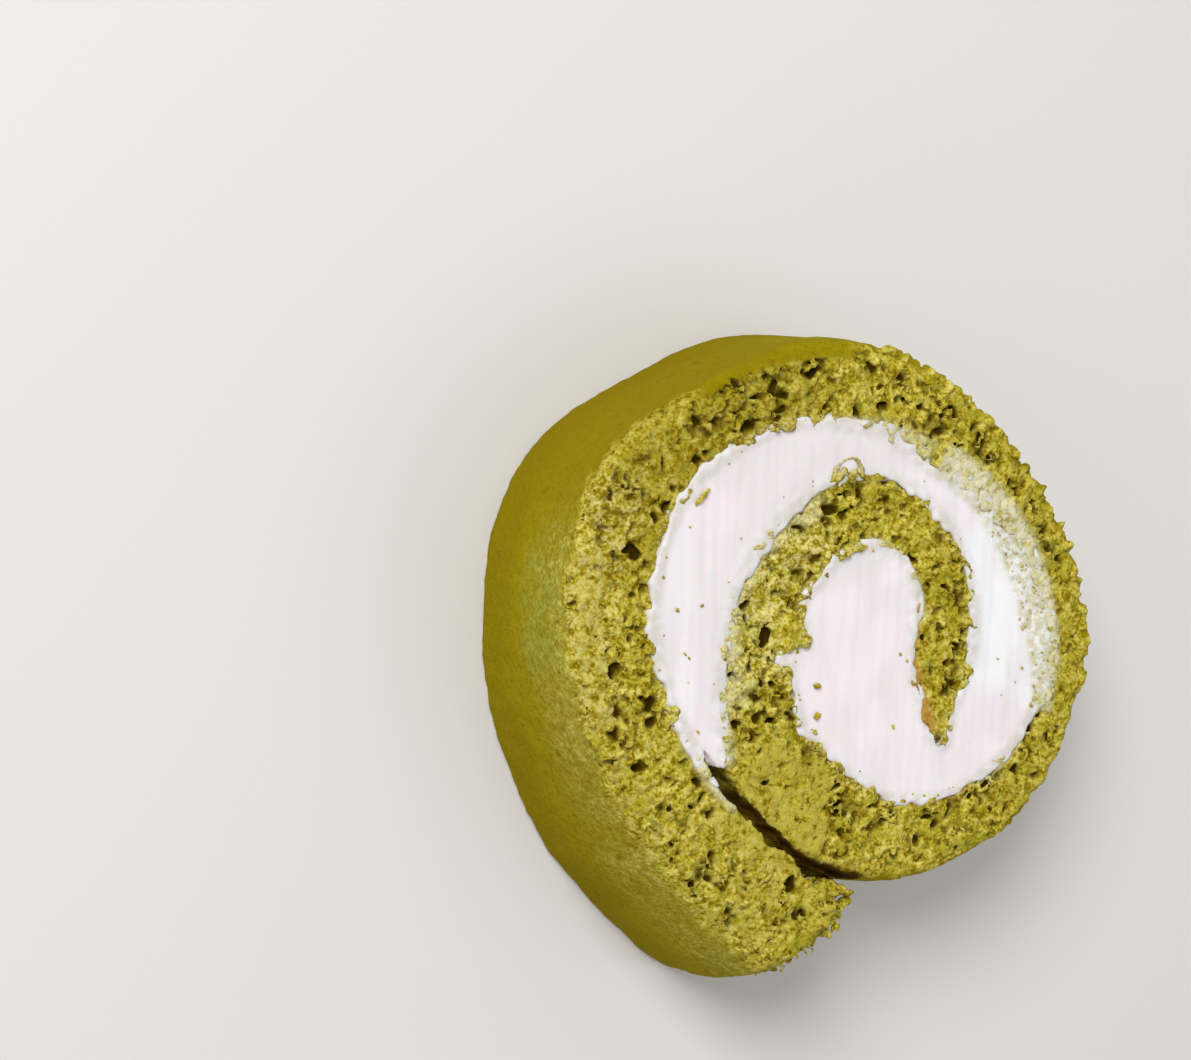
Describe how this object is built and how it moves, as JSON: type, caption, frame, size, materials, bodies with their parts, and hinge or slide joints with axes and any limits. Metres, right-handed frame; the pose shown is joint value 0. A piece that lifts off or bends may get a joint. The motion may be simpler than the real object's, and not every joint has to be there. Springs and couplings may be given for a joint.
{
  "type": "swiss roll cake slice",
  "caption": "Thick slice of green matcha swiss roll, a sponge sheet rolled up round whipped cream, lying on its back cut face with a loose tail end.",
  "frame": {"origin": "middle of the bounding box in plan, on the surface the slice rests on", "axes": "+Z out of the shown cut face, upwards; +Y in the cut face, pointing away from the loose tail end; +X in the cut face, to the right of +Y seen from above"},
  "size_m": [0.0802, 0.086, 0.026],
  "materials": {
    "sponge": "matte open crumb, velvety skin",
    "cream": "soft satin"
  },
  "bodies": {
    "root": {"sponge": "sponge", "cream": "cream"}
  },
  "joints": []
}
